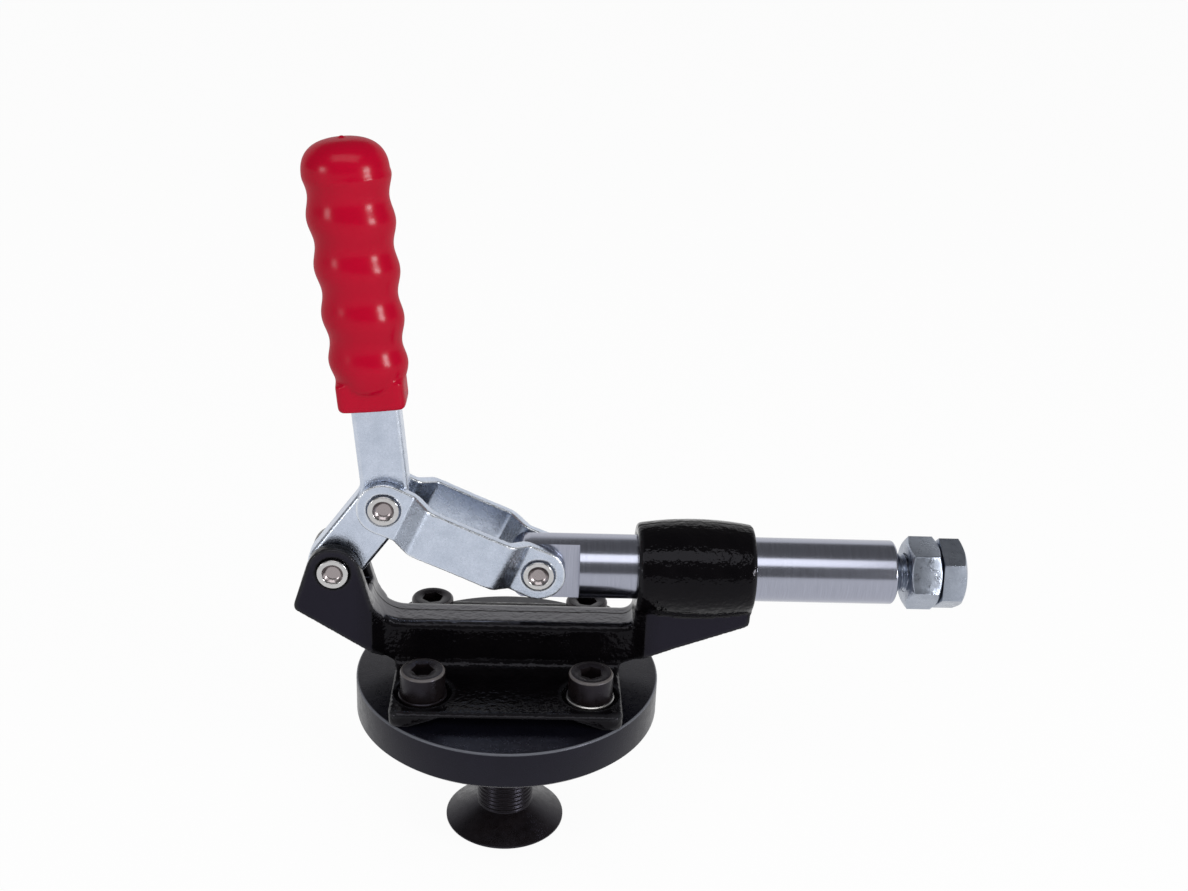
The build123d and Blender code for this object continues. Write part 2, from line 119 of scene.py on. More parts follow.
# Black oxide of the screws, washers and disc
OXIDE_SHINE = 0.25
OXIDE_TINT = (0.80, 0.77, 1.0)
SCREW_TONES = ((0.0020, 0.0016, 0.0018), (0.0110, 0.0080, 0.0085))
# Rim colours for the screws and disc: wear and a painted highlight
SCREW_WEAR_AND_HIGHLIGHT = (0.10, 0.092, 0.09)
SCREW_ROUGHNESS = (0.24, 0.40)
DISC_TONES = ((0.0014, 0.0014, 0.0026), (0.0040, 0.0040, 0.0075))
DISC_WEAR_AND_HIGHLIGHT = (0.10, 0.105, 0.12)
DISC_ROUGHNESS = (0.24, 0.36)

# Zinc plate of the lever, links, bolt and nut, and the one washer painted bright for wear and a
# painted highlight
ZINC_TONES = ((0.40, 0.455, 0.55), (0.68, 0.735, 0.86))
ZINC_ROUGHNESS = (0.18, 0.34)
BOLT_TONES = ((0.24, 0.27, 0.33), (0.48, 0.52, 0.60))
BOLT_ROUGHNESS = (0.24, 0.38)
# Bright washer finish: wear and a painted highlight
WASHER_WEAR_AND_HIGHLIGHT_TONES = ((0.42, 0.41, 0.40), (0.60, 0.59, 0.58))
WASHER_WEAR_AND_HIGHLIGHT_ROUGHNESS = (0.28, 0.42)
# Edge colour and its share: worn plating and a painted highlight
ZINC_EDGE_WEAR_AND_HIGHLIGHT = (0.80, 0.81, 0.82)
ZINC_WEAR_AND_HIGHLIGHT = 0.7
SPECK_SPAN = (0.35, 0.65)
SPECK_AMOUNT = 0.24
SPECK_SHADE = 0.72

# Bare steel of the pins and the plunger
RIVET_TONES = ((0.45, 0.445, 0.45), (0.60, 0.595, 0.595))
RIVET_ROUGHNESS = (0.14, 0.24)
# Dish colour: painted shade in the recess
DISH_SHADE = (0.33, 0.295, 0.30)
DISH_ROUGHNESS = 0.08
STEEL_TONES = ((0.225, 0.232, 0.285), (0.455, 0.475, 0.565))
STEEL_ROUGHNESS = (0.15, 0.25)
RING_STRETCH = (190.0, 2.0, 2.0)

# Vinyl of the grip
VINYL_TONES = ((0.365, 0.0002, 0.015), (0.435, 0.0003, 0.021))
VINYL_ROUGHNESS = (0.24, 0.36)
VINYL_COAT = 0.30
VINYL_COAT_ROUGHNESS = 0.22

# ---- Fine form ----

# Widest angle between faces that still shades as smooth
TURNED_SMOOTH = 35.0
DISC_SMOOTH = 25.0
MOULDED_SMOOTH = 60.0

# Points round a turned piece, and the radius below which a point lies on its axis
SMALL_ROUND = 96
CLAMPING_ROUND = 160
ROD_ROUND = 192
DISC_ROUND = 256
THREAD_ROUND = 72
GRIP_ROUND = 128
NUB_ROUND = 32
AXIS_RADIUS = 1e-9

# Rim of a turned piece, painted bright for wear and a painted highlight: where it starts and ends
# under the top, in shares of its edge
RIM_LOW = 0.75
RIM_HIGH = 0.05

# Voxel meshes: size, and rounds of easing that round the edges
FRAME_VOXEL = 0.53 * MM
FRAME_ROUNDS = 3
LEVER_VOXEL = 0.4 * MM
LINK_VOXEL = 0.3 * MM
PLATE_ROUNDS = 4
GRIP_VOXEL = 0.45 * MM
GRIP_ROUNDS = 5
EASING = 0.5
WELD_DISTANCE = 1e-6

# Worn edges and painted edge highlights on a voxel mesh, in voxels: how far an edge stands out
# before it shows, and to its full
WEAR_AND_HIGHLIGHT_START = 0.02
WEAR_AND_HIGHLIGHT_SPAN = 0.07

# Casting: ground flanks of the fork and nose, throat between them, parting line along the web
FORK_THICKNESS = 17.6 * MM
FLANK_TOLERANCE = 0.15 * MM
FLANK_FACING = 0.97
GROUND_START = 33.0 * MM
GROUND_FADE = 14.0 * MM
WEB_TOP = 31.4 * MM
THROAT_MARGIN = 0.3 * MM
THROAT_START = -43.0 * MM
THROAT_END = 38.2 * MM
THROAT_UPWARD = 0.45
THROAT_SIDEWAYS = 0.75
THROAT_FADE = 0.3
PARTING_LINE = 1.4 * MM
PARTING_WANDER = 0.9 * MM
PARTING_CORE = 0.15 * MM
PARTING_EDGE = 0.50 * MM
PARTING_DROP = 0.8 * MM

# Flange screws and washers
FLANGE_CORNERS = range(1, 5)
SCREW_HEAD_HEIGHT = 8.0 * MM
SCREW_HEAD_EDGE = 1.0 * MM
SCREW_SOCKET = 6.0 * MM
SCREW_SOCKET_DEPTH = 4.5 * MM
SCREW_MOUTH_RIM = 0.35 * MM
SCREW_MOUTH_WIDTH = 0.5 * MM
SCREW_MOUTH_DEPTH = 0.3 * MM
SCREW_WEAR_AND_HIGHLIGHT_MARGIN = 0.1 * MM
SCREW_SHANK_RADIUS = 4.0 * MM
SCREW_TURNS = (4.0, 31.0, 17.0, 48.0)
WASHER_HOLE_RADIUS = 4.2 * MM
WASHER_EDGE = 0.25 * MM
WASHER_WITH_WEAR_AND_HIGHLIGHT = 2

# Riveted pins, and the shares of the dish's slope that its outline is drawn through
PIN_RADIUS = 4.0 * MM
PIN_HEAD_DEPTH = 1.8 * MM
PIN_RIM_RADIUS = 0.35 * MM
PIN_LIP_RADIUS = 0.25 * MM
PIN_DISH_RADIUS = 3.1 * MM
PIN_DISH_FLOOR_RADIUS = 1.7 * MM
PIN_DISH_DEPTH = 1.3 * MM
PIN_DISH_SHARES = (0.15, 0.5, 0.8, 0.93, 1.0)
PIN_DISH_MARGIN = 0.2 * MM

# Disc and clamping screw
DISC_EDGE = 0.8 * MM
DISC_BORE_CLEARANCE = 0.1 * MM
CLAMPING_SHANK_RADIUS = 9.0 * MM
CLAMPING_THREAD_PITCH = 1.5 * MM
CLAMPING_THREAD_DEPTH = 0.40 * MM
CLAMPING_CONE_HEIGHT = 5.2 * MM
CLAMPING_RIM_HEIGHT = 0.9 * MM
CLAMPING_EDGE = 0.25 * MM
CLAMPING_CORE_HEIGHT = 2.0 * MM
CLAMPING_SOCKET = 12.0 * MM
CLAMPING_SOCKET_DEPTH = 8.0 * MM

# Threads: steps in one turn, steepness of the flanks, width of the crest, overlap with a head
THREAD_STEPS = 12
THREAD_SLOPE = 1.25
THREAD_CREST = 0.12
THREAD_OVERLAP = 0.2 * MM

# Spindle bolt and lock nut
SPINDLE_RADIUS = 6.0 * MM
SPINDLE_THREAD_PITCH = 1.75 * MM
SPINDLE_THREAD_DEPTH = 0.9 * MM
HEXAGON = 19.5 * MM
HEXAGON_BEVEL_RADIUS = 9.1 * MM
HEXAGON_BEVEL_SLOPE = 30.0
HEXAGON_CONE_REACH = 0.2 * MM
HEXAGON_CONE_DROP = 0.1 * MM
HEXAGON_EDGE = 0.22 * MM
HEXAGON_EDGE_STEPS = 3
HEXAGON_EDGE_ANGLE = 20.0
BOLT_HEAD_HEIGHT = 7.3 * MM
HEAD_TURN = -9.0
NUT_TURN = -22.5
NUT_BORE_START = -1.0 * MM
NUT_BORE_END = 20.0 * MM

# Plunger
PLUNGER_EDGE = 0.9 * MM
PLUNGER_MOUTH_BEVEL = 0.5 * MM
PLUNGER_MOUTH_DEPTH = 4.0 * MM
TONGUE_THICKNESS = 8.0 * MM
TONGUE_FRONT = 12.3 * MM
TONGUE_CORNER_RADIUS = 7.0 * MM

# Grip
BAR_ANGLE = 95.6
GRIP_START = 30.8 * MM
GRIP_LENGTH = 77.3 * MM
GRIP_STEPS = 180
GRIP_WIDTH = 21.4 * MM
GRIP_TAPER = 0.045
GRIP_RIPPLE = 1.25 * MM
GRIP_PITCH = 14.0 * MM
GRIP_FIRST_RIDGE = 12.8 * MM
GRIP_TILT = 6.4
GRIP_FLATNESS = 0.86
GRIP_DOME = 10.0 * MM
GRIP_DOME_POWER = 2.6
GRIP_TOP_WIDTH = 24.3 * MM
GRIP_LIP = 5.2 * MM
GRIP_LIP_RADIUS = 2.4 * MM
GRIP_LIP_RISE = 1.3 * MM
COLLAR_WIDTH = 19.7 * MM
COLLAR_DEPTH = 14.5 * MM
COLLAR_HEIGHT = 8.5 * MM
COLLAR_STEPS = 16
COLLAR_SQUARENESS = 7.0
COLLAR_RIM = 0.5 * MM
COLLAR_RIM_HEIGHT = 1.2 * MM
NUB_HEIGHT = 0.6 * MM
NUB_FOOT = -1.0 * MM
NUB_FOOT_RADIUS = 1.6 * MM
NUB_TOP_RADIUS = 0.5 * MM


# ---- Node trees ----


class Nodes:
    """Short way to write a node tree."""

    def __init__(self, tree):
        self.tree = tree
        self.tree.nodes.clear()

    def add(self, kind, **settings):
        node = self.tree.nodes.new(kind)
        for key, value in settings.items():
            setattr(node, key, value)
        return node

    def link(self, source, target):
        self.tree.links.new(source, target)

    def axes(self, vector):
        """Outputs X, Y and Z of a vector."""
        node = self.add("ShaderNodeSeparateXYZ")
        self.link(vector, node.inputs[0])
        return node.outputs

    def remap(self, value, span_in, span_out, interpolation="LINEAR"):
        """Stretch the first span over the second, and stop at its ends."""
        node = self.add("ShaderNodeMapRange", interpolation_type=interpolation)
        keys = ("From Min", "From Max", "To Min", "To Max")
        for key, number in zip(keys, (*span_in, *span_out)):
            node.inputs[key].default_value = number
        self.link(value, node.inputs["Value"])
        return node.outputs["Result"]

    def math(self, operation, first, second=None):
        node = self.add("ShaderNodeMath", operation=operation)
        for socket, value in zip(node.inputs, (first, second)):
            if value is None:
                continue
            if isinstance(value, (int, float)):
                socket.default_value = value
            else:
                self.link(value, socket)
        return node.outputs[0]

    def times(self, first, second):
        return self.math("MULTIPLY", first, second)


class Finish(Nodes):
    """A material's node tree, with its shader in place."""

    def __init__(self, name):
        self.material = bpy.data.materials.new(name)
        self.material.use_nodes = True
        super().__init__(self.material.node_tree)
        self.output = self.add("ShaderNodeOutputMaterial")
        self.shader = self.add("ShaderNodeBsdfPrincipled")
        self.link(self.shader.outputs["BSDF"], self.output.inputs["Surface"])
        self.coordinates = self.add("ShaderNodeTexCoord").outputs["Object"]

    def noise(self, scale, detail=3.0, roughness=0.5, stretch=None):
        """Cloudy noise. A stretch scales each axis by its own factor first."""
        place = self.coordinates
        if stretch is not None:
            mapping = self.add("ShaderNodeMapping")
            mapping.inputs["Scale"].default_value = stretch
            self.link(place, mapping.inputs["Vector"])
            place = mapping.outputs["Vector"]
        node = self.add("ShaderNodeTexNoise")
        node.inputs["Scale"].default_value = scale
        node.inputs["Detail"].default_value = detail
        node.inputs["Roughness"].default_value = roughness
        self.link(place, node.inputs["Vector"])
        return node.outputs["Fac"]

    def spread(self, noise, span):
        """Stretch the part of a noise where most of its values lie over a span."""
        return self.remap(noise, NOISE_SPAN, span)

    def between(self, factor, first, last):
        return self.remap(factor, (0.0, 1.0), (first, last))

    def mix(self, factor, first, second):
        node = self.add("ShaderNodeMix", data_type="RGBA")
        self.link(factor, node.inputs["Factor"])
        for socket, colour in ((node.inputs[6], first), (node.inputs[7], second)):
            if isinstance(colour, tuple):
                socket.default_value = (*colour, 1.0)
            else:
                self.link(colour, socket)
        return node.outputs[2]

    def attribute(self, name):
        return self.add("ShaderNodeAttribute", attribute_name=name).outputs["Fac"]

    def bump(self, height, distance, strength=1.0):
        node = self.add("ShaderNodeBump")
        node.inputs["Strength"].default_value = strength
        node.inputs["Distance"].default_value = distance
        self.link(height, node.inputs["Height"])
        self.link(node.outputs["Normal"], self.shader.inputs["Normal"])

    def set(self, **values):
        for key, value in values.items():
            socket = self.shader.inputs[key.replace("_", " ").title().replace("Ior", "IOR")]
            if isinstance(value, tuple):
                socket.default_value = (*value, 1.0)
            elif isinstance(value, (int, float)):
                socket.default_value = value
            else:
                self.link(value, socket)


# ---- Materials ----


def parting_line(n):
    """1 on a thin line that wanders along the top of the casting's web, else 0."""
    axes = n.axes(n.coordinates)
    wander = n.between(n.noise(90.0, detail=4.0, roughness=0.6), -PARTING_WANDER, PARTING_WANDER)
    across = n.math("SUBTRACT", axes["Y"], n.math("ADD", wander, PARTING_LINE))
    near = n.remap(n.math("ABSOLUTE", across), (PARTING_CORE, PARTING_EDGE), (1.0, 0.0))
    top = (WEB_TOP - PARTING_DROP, WEB_TOP - THROAT_MARGIN)
    return n.times(near, n.remap(axes["Z"], top, (0.0, 1.0)))


def black_enamel():
    """Glossy enamel over a rough casting.

    It is paler, duller and more even where the flanks were ground, and it shines in the throat
    between fork and boss, apart from the dull black parting line along the web.
    """
    n = Finish("black_enamel")
    ground, edge, top = n.attribute("ground"), n.attribute("edge"), n.attribute("top")
    line = parting_line(n)
    tone = n.mix(n.noise(140.0), *ENAMEL_TONES)
    tone = n.mix(ground, tone, GROUND_TONE)
    # Outer edges painted paler: worn enamel and a painted highlight
    tone = n.mix(n.times(edge, ENAMEL_WEAR_AND_HIGHLIGHT), tone, ENAMEL_EDGE_WEAR_AND_HIGHLIGHT)
    rough = n.spread(n.noise(300.0, detail=4.0), ENAMEL_ROUGHNESS)
    rough = n.math("MAXIMUM", rough, n.times(ground, GROUND_ROUGHNESS))
    n.set(base_color=n.mix(line, tone, BLACK), roughness=rough)
    shine = n.between(top, ENAMEL_SHINE, THROAT_SHINE)
    shine = n.times(shine, n.between(line, 1.0, PARTING_SHINE))
    n.set(specular_ior_level=shine, specular_tint=ENAMEL_TINT)
    peel = n.times(n.noise(560.0, detail=2.0), n.between(ground, 1.0, GROUND_PEEL))
    peel = n.times(peel, n.between(top, 1.0, THROAT_PEEL))
    n.bump(peel, ENAMEL_PEEL)
    return n.material


def black_oxide(name, tones, wear_and_highlight, roughness):
    """Oiled black oxide on turned steel, painted bright on its marked rim for wear and a painted
    highlight.
    """
    n = Finish(name)
    tone = n.mix(n.noise(180.0, detail=5.0, roughness=0.6), *tones)
    # Rim painted bright: wear and a painted highlight
    tone = n.mix(n.attribute("edge"), tone, wear_and_highlight)
    n.set(base_color=tone, roughness=n.spread(n.noise(500.0, detail=4.0), roughness))
    n.set(specular_ior_level=OXIDE_SHINE, specular_tint=OXIDE_TINT)
    n.bump(n.noise(1600.0), 0.04 * MM, strength=0.5)
    return n.material


def zinc_plate(name, tones, roughness):
    """Zinc plating with blue-grey clouds and a fine crystalline sparkle."""
    n = Finish(name)
    cloud = n.mix(n.noise(150.0, detail=5.0, roughness=0.6), *tones)
    speck = n.remap(n.noise(1500.0, detail=3.0, roughness=0.7), SPECK_SPAN, (0.0, 1.0))
    dull = tuple(SPECK_SHADE * value for value in tones[0])
    tone = n.mix(n.times(speck, SPECK_AMOUNT), cloud, dull)
    # Outer edges painted bright: worn plating and a painted highlight
    tone = n.mix(n.times(n.attribute("edge"), ZINC_WEAR_AND_HIGHLIGHT), tone, ZINC_EDGE_WEAR_AND_HIGHLIGHT)
    n.set(base_color=tone, metallic=1.0)
    n.set(roughness=n.spread(n.noise(420.0, detail=5.0, roughness=0.6), roughness))
    n.bump(n.noise(1700.0, detail=4.0, roughness=0.65), 0.06 * MM)
    return n.material


def riveted_steel():
    """Bright pin head with a duller dish pressed into it, painted darker and warmer there as
    shade.
    """
    n = Finish("riveted_steel")
    dish = n.attribute("dish")
    # Dish painted darker and warmer as shade in the recess; its added roughness is the duller
    # pressed face
    tone = n.mix(dish, n.mix(n.noise(700.0, detail=4.0), *RIVET_TONES), DISH_SHADE)
    rough = n.spread(n.noise(900.0, detail=4.0), RIVET_ROUGHNESS)
    rough = n.math("ADD", rough, n.times(dish, DISH_ROUGHNESS))
    n.set(base_color=tone, metallic=1.0, roughness=rough)
    n.bump(n.noise(1500.0), 0.03 * MM)
    return n.material


def ground_steel():
    """Centreless-ground bar: fine rings round its length."""
    n = Finish("ground_steel")
    rings = n.noise(60.0, detail=3.0, roughness=0.6, stretch=RING_STRETCH)
    n.set(base_color=n.mix(rings, *STEEL_TONES), metallic=1.0)
    n.set(roughness=n.spread(rings, STEEL_ROUGHNESS))
    n.bump(rings, 0.01 * MM, strength=0.6)
    return n.material


def red_vinyl():
    """Dipped vinyl: smooth, glossy and slightly soft to the light."""
    n = Finish("red_vinyl")
    tone = n.mix(n.noise(60.0), *VINYL_TONES)
    n.set(base_color=tone, roughness=n.spread(n.noise(180.0, detail=4.0), VINYL_ROUGHNESS))
    n.set(coat_weight=VINYL_COAT, coat_roughness=VINYL_COAT_ROUGHNESS, specular_ior_level=0.0)
    n.bump(n.noise(320.0), 0.10 * MM, strength=0.4)
    return n.material


def make_materials():
    return {
        "enamel": black_enamel(),
        "oxide": black_oxide("screw_oxide", SCREW_TONES, SCREW_WEAR_AND_HIGHLIGHT, SCREW_ROUGHNESS),
        "disc": black_oxide("disc_oxide", DISC_TONES, DISC_WEAR_AND_HIGHLIGHT, DISC_ROUGHNESS),
        "zinc": zinc_plate("zinc_plate", ZINC_TONES, ZINC_ROUGHNESS),
        "bright_zinc": zinc_plate("bright_zinc", BOLT_TONES, BOLT_ROUGHNESS),
        "rivet": riveted_steel(),
        "wear_and_highlight": zinc_plate("worn_steel", WASHER_WEAR_AND_HIGHLIGHT_TONES, WASHER_WEAR_AND_HIGHLIGHT_ROUGHNESS),
        "steel": ground_steel(),
        "vinyl": red_vinyl(),
    }


# ---- Mesh tools ----

ALONG_X = Matrix.Rotation(math.radians(90), 4, "Y")
ALONG_Y = Matrix.Rotation(math.radians(-90), 4, "X")
TOWARDS_Y = Matrix.Rotation(math.radians(90), 4, "X")


def add_object(name, data):
    piece = bpy.data.objects.new(name, data)
    bpy.context.scene.collection.objects.link(piece)
    return piece


def add_mesh(name, verts, faces):
    mesh = bpy.data.meshes.new(name)
    mesh.from_pydata(verts, [], faces)
    mesh.update()
    return add_object(name, mesh)


def drop(piece):
    mesh = piece.data
    bpy.data.objects.remove(piece)
    bpy.data.meshes.remove(mesh)


def apply_modifiers(piece):
    """Replace a piece's mesh with the one its modifiers make, and drop the modifiers."""
    graph = bpy.context.evaluated_depsgraph_get()
    mesh = bpy.data.meshes.new_from_object(piece.evaluated_get(graph))
    old = piece.data
    piece.modifiers.clear()
    piece.data = mesh
    bpy.data.meshes.remove(old)


def boolean(piece, other, operation):
    """Cut another piece away, or keep only what both share. The other is used up."""
    modifier = piece.modifiers.new(operation.lower(), "BOOLEAN")
    modifier.operation = operation
    modifier.object = other
    modifier.solver = "EXACT"
    apply_modifiers(piece)
    drop(other)


def join(piece, other):
    """Add another piece's mesh to this one. The other is used up."""
    shell = bmesh.new()
    shell.from_mesh(piece.data)
    shell.from_mesh(other.data)
    shell.to_mesh(piece.data)
    shell.free()
    drop(other)


def arc(centre, radius, start, end, steps):
    """Points of an arc from one angle to another, round a centre of two coordinates."""
    points = []
    for step in range(steps + 1):
        angle = math.radians(start + (end - start) * step / steps)
        x = centre[0] + radius * math.cos(angle)
        points.append((x, centre[1] + radius * math.sin(angle)))
    return points


def lathe(name, profile, segments):
    """Turn a profile of (radius, height) round Z. Points of no radius close it at the axis."""
    verts, faces, rings = [], [], []
    for radius, height in profile:
        if radius < AXIS_RADIUS:
            rings.append([len(verts)])
            verts.append((0.0, 0.0, height))
            continue
        rings.append(list(range(len(verts), len(verts) + segments)))
        for step in range(segments):
            turn = 2 * math.pi * step / segments
            verts.append((radius * math.cos(turn), radius * math.sin(turn), height))
    for lower, upper in zip(rings, rings[1:]):
        for step in range(segments):
            after = (step + 1) % segments
            corners = [lower[step % len(lower)], lower[after % len(lower)]]
            corners += [upper[after % len(upper)], upper[step % len(upper)]]
            face = list(dict.fromkeys(corners))
            if len(face) > 2:
                faces.append(face)
    return add_mesh(name, verts, faces)


def skin(name, heights, outline, segments):
    """Closed skin through an outline taken at each height, with flat ends."""
    verts, faces = [], []
    for height in heights:
        verts += [outline(height, 2 * math.pi * spoke / segments) for spoke in range(segments)]
    last = (len(heights) - 1) * segments
    for low in range(0, last, segments):
        high = low + segments
        for spoke in range(segments):
            after = (spoke + 1) % segments
            faces.append([low + spoke, low + after, high + after, high + spoke])
    faces.append(list(reversed(range(segments))))
    faces.append(list(range(last, last + segments)))
    return add_mesh(name, verts, faces)


def thread(radius, depth, pitch, bottom, top, segments):
    """Closed rod with a helical thread cut into it, which runs out at both ends."""

    def outline(height, turn):
        fade = min(1.0, (top - height) / pitch, (height - bottom) / pitch)
        phase = (height / pitch - turn / (2 * math.pi)) % 1.0
        cut = min(1.0, max(0.0, abs(2 * phase - 1) * THREAD_SLOPE - THREAD_CREST))
        reach = radius - depth * cut * fade
        return (reach * math.cos(turn), reach * math.sin(turn), height)

    steps = max(2, round((top - bottom) / pitch * THREAD_STEPS))
    heights = [bottom + (top - bottom) * step / steps for step in range(steps + 1)]
    return skin("shank", heights, outline, segments)


def prism(name, corners, bottom, top):
    """Upright prism over a flat outline of (x, y) points."""
    count = len(corners)
    verts = [(x, y, bottom) for x, y in corners] + [(x, y, top) for x, y in corners]
    faces = [list(reversed(range(count))), list(range(count, 2 * count))]
    for step in range(count):
        after = (step + 1) % count
        faces.append([step, after, count + after, count + step])
    return add_mesh(name, verts, faces)


def hexagon(across_flats, turn=0.0):
    radius = across_flats / 2 / math.cos(math.pi / 6)
    angles = [math.radians(turn + 60 * corner) for corner in range(6)]
    return [(radius * math.cos(angle), radius * math.sin(angle)) for angle in angles]


def put(piece, place, turn=None):
    """Turn a piece's mesh by a matrix, then move it to a place."""
    matrix = Matrix.Translation(place)
    if turn is not None:
        matrix = matrix @ turn
    piece.data.transform(matrix)


def finish_piece(piece, material, body, nodes, smooth=TURNED_SMOOTH):
    """Give a piece its finish, let it ride on its body and stand for its CAD nodes."""
    mesh = piece.data
    mesh.polygons.foreach_set("use_smooth", [True] * len(mesh.polygons))
    mesh.set_sharp_from_angle(angle=math.radians(smooth))
    mesh.update()
    mesh.materials.clear()
    mesh.materials.append(material)
    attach(piece, body)
    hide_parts(*nodes)


# ---- Point by point ----


def positions(mesh):
    points = np.empty(len(mesh.vertices) * 3)
    mesh.vertices.foreach_get("co", points)
    return points.reshape(-1, 3)


def directions(mesh):
    normals = np.empty(len(mesh.vertices) * 3, dtype=np.float32)
    mesh.vertex_normals.foreach_get("vector", normals)
    return normals.reshape(-1, 3)


def edge_ends(mesh):
    ends = np.empty(len(mesh.edges) * 2, dtype=np.int64)
    mesh.edges.foreach_get("vertices", ends)
    return ends[0::2], ends[1::2]


def neighbour_mean(values, ends):
    """Mean of the values at each point's neighbours."""
    first, second = ends
    count = len(values)
    links = np.bincount(first, minlength=count) + np.bincount(second, minlength=count)
    total = np.empty_like(values)
    for column in range(values.shape[1]):
        total[:, column] = np.bincount(first, values[second, column], count)
        total[:, column] += np.bincount(second, values[first, column], count)
    return total / links[:, None]


def paint(piece, name, values):
    """Store a number at each point of a piece's mesh, for its material to read."""
    layer = piece.data.attributes.new(name, "FLOAT", "POINT")
    layer.data.foreach_set("value", np.asarray(values, dtype=np.float32))


def edge_wear_and_highlight(mesh, voxel):
    """1 along outer edges and corners of an even mesh, 0 on flats and in hollows. It marks worn
    edges and painted edge highlights.
    """
    points = positions(mesh)
    ends = edge_ends(mesh)
    out = np.sum((points - neighbour_mean(points, ends)) * directions(mesh), axis=1) / voxel
    out = neighbour_mean(neighbour_mean(out[:, None], ends), ends)[:, 0]
    return np.clip((out - WEAR_AND_HIGHLIGHT_START) / WEAR_AND_HIGHLIGHT_SPAN, 0.0, 1.0)


def top_rim(height, top, edge):
    """True on the rounded edge just under the top of a turned piece."""
    return (height > top - RIM_LOW * edge) & (height < top - RIM_HIGH * edge)


def remesh(piece, voxel, rounds):
    """Give a piece an even mesh, and round its edges by easing points to their neighbours."""
    modifier = piece.modifiers.new("voxels", "REMESH")
    modifier.mode = "VOXEL"
    modifier.voxel_size = voxel
    apply_modifiers(piece)
    mesh = piece.data
    points, ends = positions(mesh), edge_ends(mesh)
    for _ in range(rounds):
        points += EASING * (neighbour_mean(points, ends) - points)
    mesh.vertices.foreach_set("co", points.ravel())
    mesh.update()


def recast(name, node, voxel, rounds):
    """A fine copy of a CAD node with its edges rounded, as casting or stamping leaves them."""
    mesh = frame["nodes"][node].data.copy()
    mesh.name = name
    shell = bmesh.new()
    shell.from_mesh(mesh)
    bmesh.ops.remove_doubles(shell, verts=shell.verts, dist=WELD_DISTANCE)
    shell.to_mesh(mesh)
    shell.free()
    for attribute in list(mesh.attributes):
        if attribute.name.startswith("custom_normal"):
            mesh.attributes.remove(attribute)
    piece = add_object(name, mesh)
    remesh(piece, voxel, rounds)
    # Mask for worn edges and painted edge highlights
    paint(piece, "edge", edge_wear_and_highlight(piece.data, voxel))
    return piece


# ---- Places in the frame ----


def centre_of(node):
    low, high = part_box(node)
    return (low + high) / 2


def foot_of(node):
    """Middle of the underside of a node's box."""
    low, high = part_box(node)
    return ((low.x + high.x) / 2, (low.y + high.y) / 2, low.z)


def body_of(node):
    bodies = frame["record"]["behaviour"]["bodies"]
    return next(body for body, members in bodies.items() if node in members)


# ---- Pieces ----


def make_casting(materials):
    piece = recast("frame_casting", "frame", FRAME_VOXEL, FRAME_ROUNDS)
    points, normals = positions(piece.data), directions(piece.data)
    along, height = points[:, 0], points[:, 2]
    sideways = np.abs(normals[:, 1])
    offset = np.abs(np.abs(points[:, 1]) - FORK_THICKNESS / 2)
    flank = (offset < FLANK_TOLERANCE) & (sideways > FLANK_FACING)
    fade = np.clip((np.abs(along) - GROUND_START) / GROUND_FADE, 0.0, 1.0)
    paint(piece, "ground", fade * flank)
    throat = (height > WEB_TOP - THROAT_MARGIN) & (along > THROAT_START) & (along < THROAT_END)
    upward = np.clip(normals[:, 2] / THROAT_UPWARD, 0.0, 1.0)
    level = np.clip((THROAT_SIDEWAYS - sideways) / THROAT_FADE, 0.0, 1.0)
    paint(piece, "top", throat * upward * level)
    finish_piece(piece, materials["enamel"], "base", ["frame"], MOULDED_SMOOTH)


def make_lever(materials):
    piece = recast("handle_plate", "handle_lever", LEVER_VOXEL, PLATE_ROUNDS)
    finish_piece(piece, materials["zinc"], "lever", ["handle_lever"], MOULDED_SMOOTH)


def make_links(materials):
    for side in ("front", "rear"):
        piece = recast(f"{side}_link_plate", f"{side}_link", LINK_VOXEL, PLATE_ROUNDS)
        finish_piece(piece, materials["zinc"], "links", [f"{side}_link"], MOULDED_SMOOTH)


def make_screws(materials):
    for number in FLANGE_CORNERS:
        node = f"flange_screw_{number}"
        low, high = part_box(node)
        radius = (high.x - low.x) / 2
        length = high.z - low.z
        shoulder = length - SCREW_HEAD_HEIGHT
        edge = SCREW_HEAD_EDGE
        mouth = SCREW_SOCKET / math.sqrt(3) + SCREW_MOUTH_RIM
        face = length - SCREW_MOUTH_DEPTH
        profile = [(0, 0), (SCREW_SHANK_RADIUS - edge / 2, 0), (SCREW_SHANK_RADIUS, edge / 2)]
        profile += [(SCREW_SHANK_RADIUS, shoulder), (radius - edge / 4, shoulder)]
        profile += [(radius, shoulder + edge / 4)]
        profile += arc((radius - edge, length - edge), edge, 0, 90, 8)
        profile += [(mouth, length), (mouth - SCREW_MOUTH_WIDTH, face), (0, face)]
        screw = lathe(f"cap_screw_{number}", profile, SMALL_ROUND)
        socket = prism("socket", hexagon(SCREW_SOCKET), length - SCREW_SOCKET_DEPTH, 2 * length)
        boolean(screw, socket, "DIFFERENCE")
        points = positions(screw.data)
        # Top rim outside the socket mouth: wear and a painted highlight
        outside = np.hypot(points[:, 0], points[:, 1]) > mouth - SCREW_WEAR_AND_HIGHLIGHT_MARGIN
        paint(screw, "edge", top_rim(points[:, 2], length, edge) & outside)
        turn = Matrix.Rotation(math.radians(SCREW_TURNS[number - 1]), 4, "Z")
        put(screw, foot_of(node), turn)
        finish_piece(screw, materials["oxide"], "base", [node])


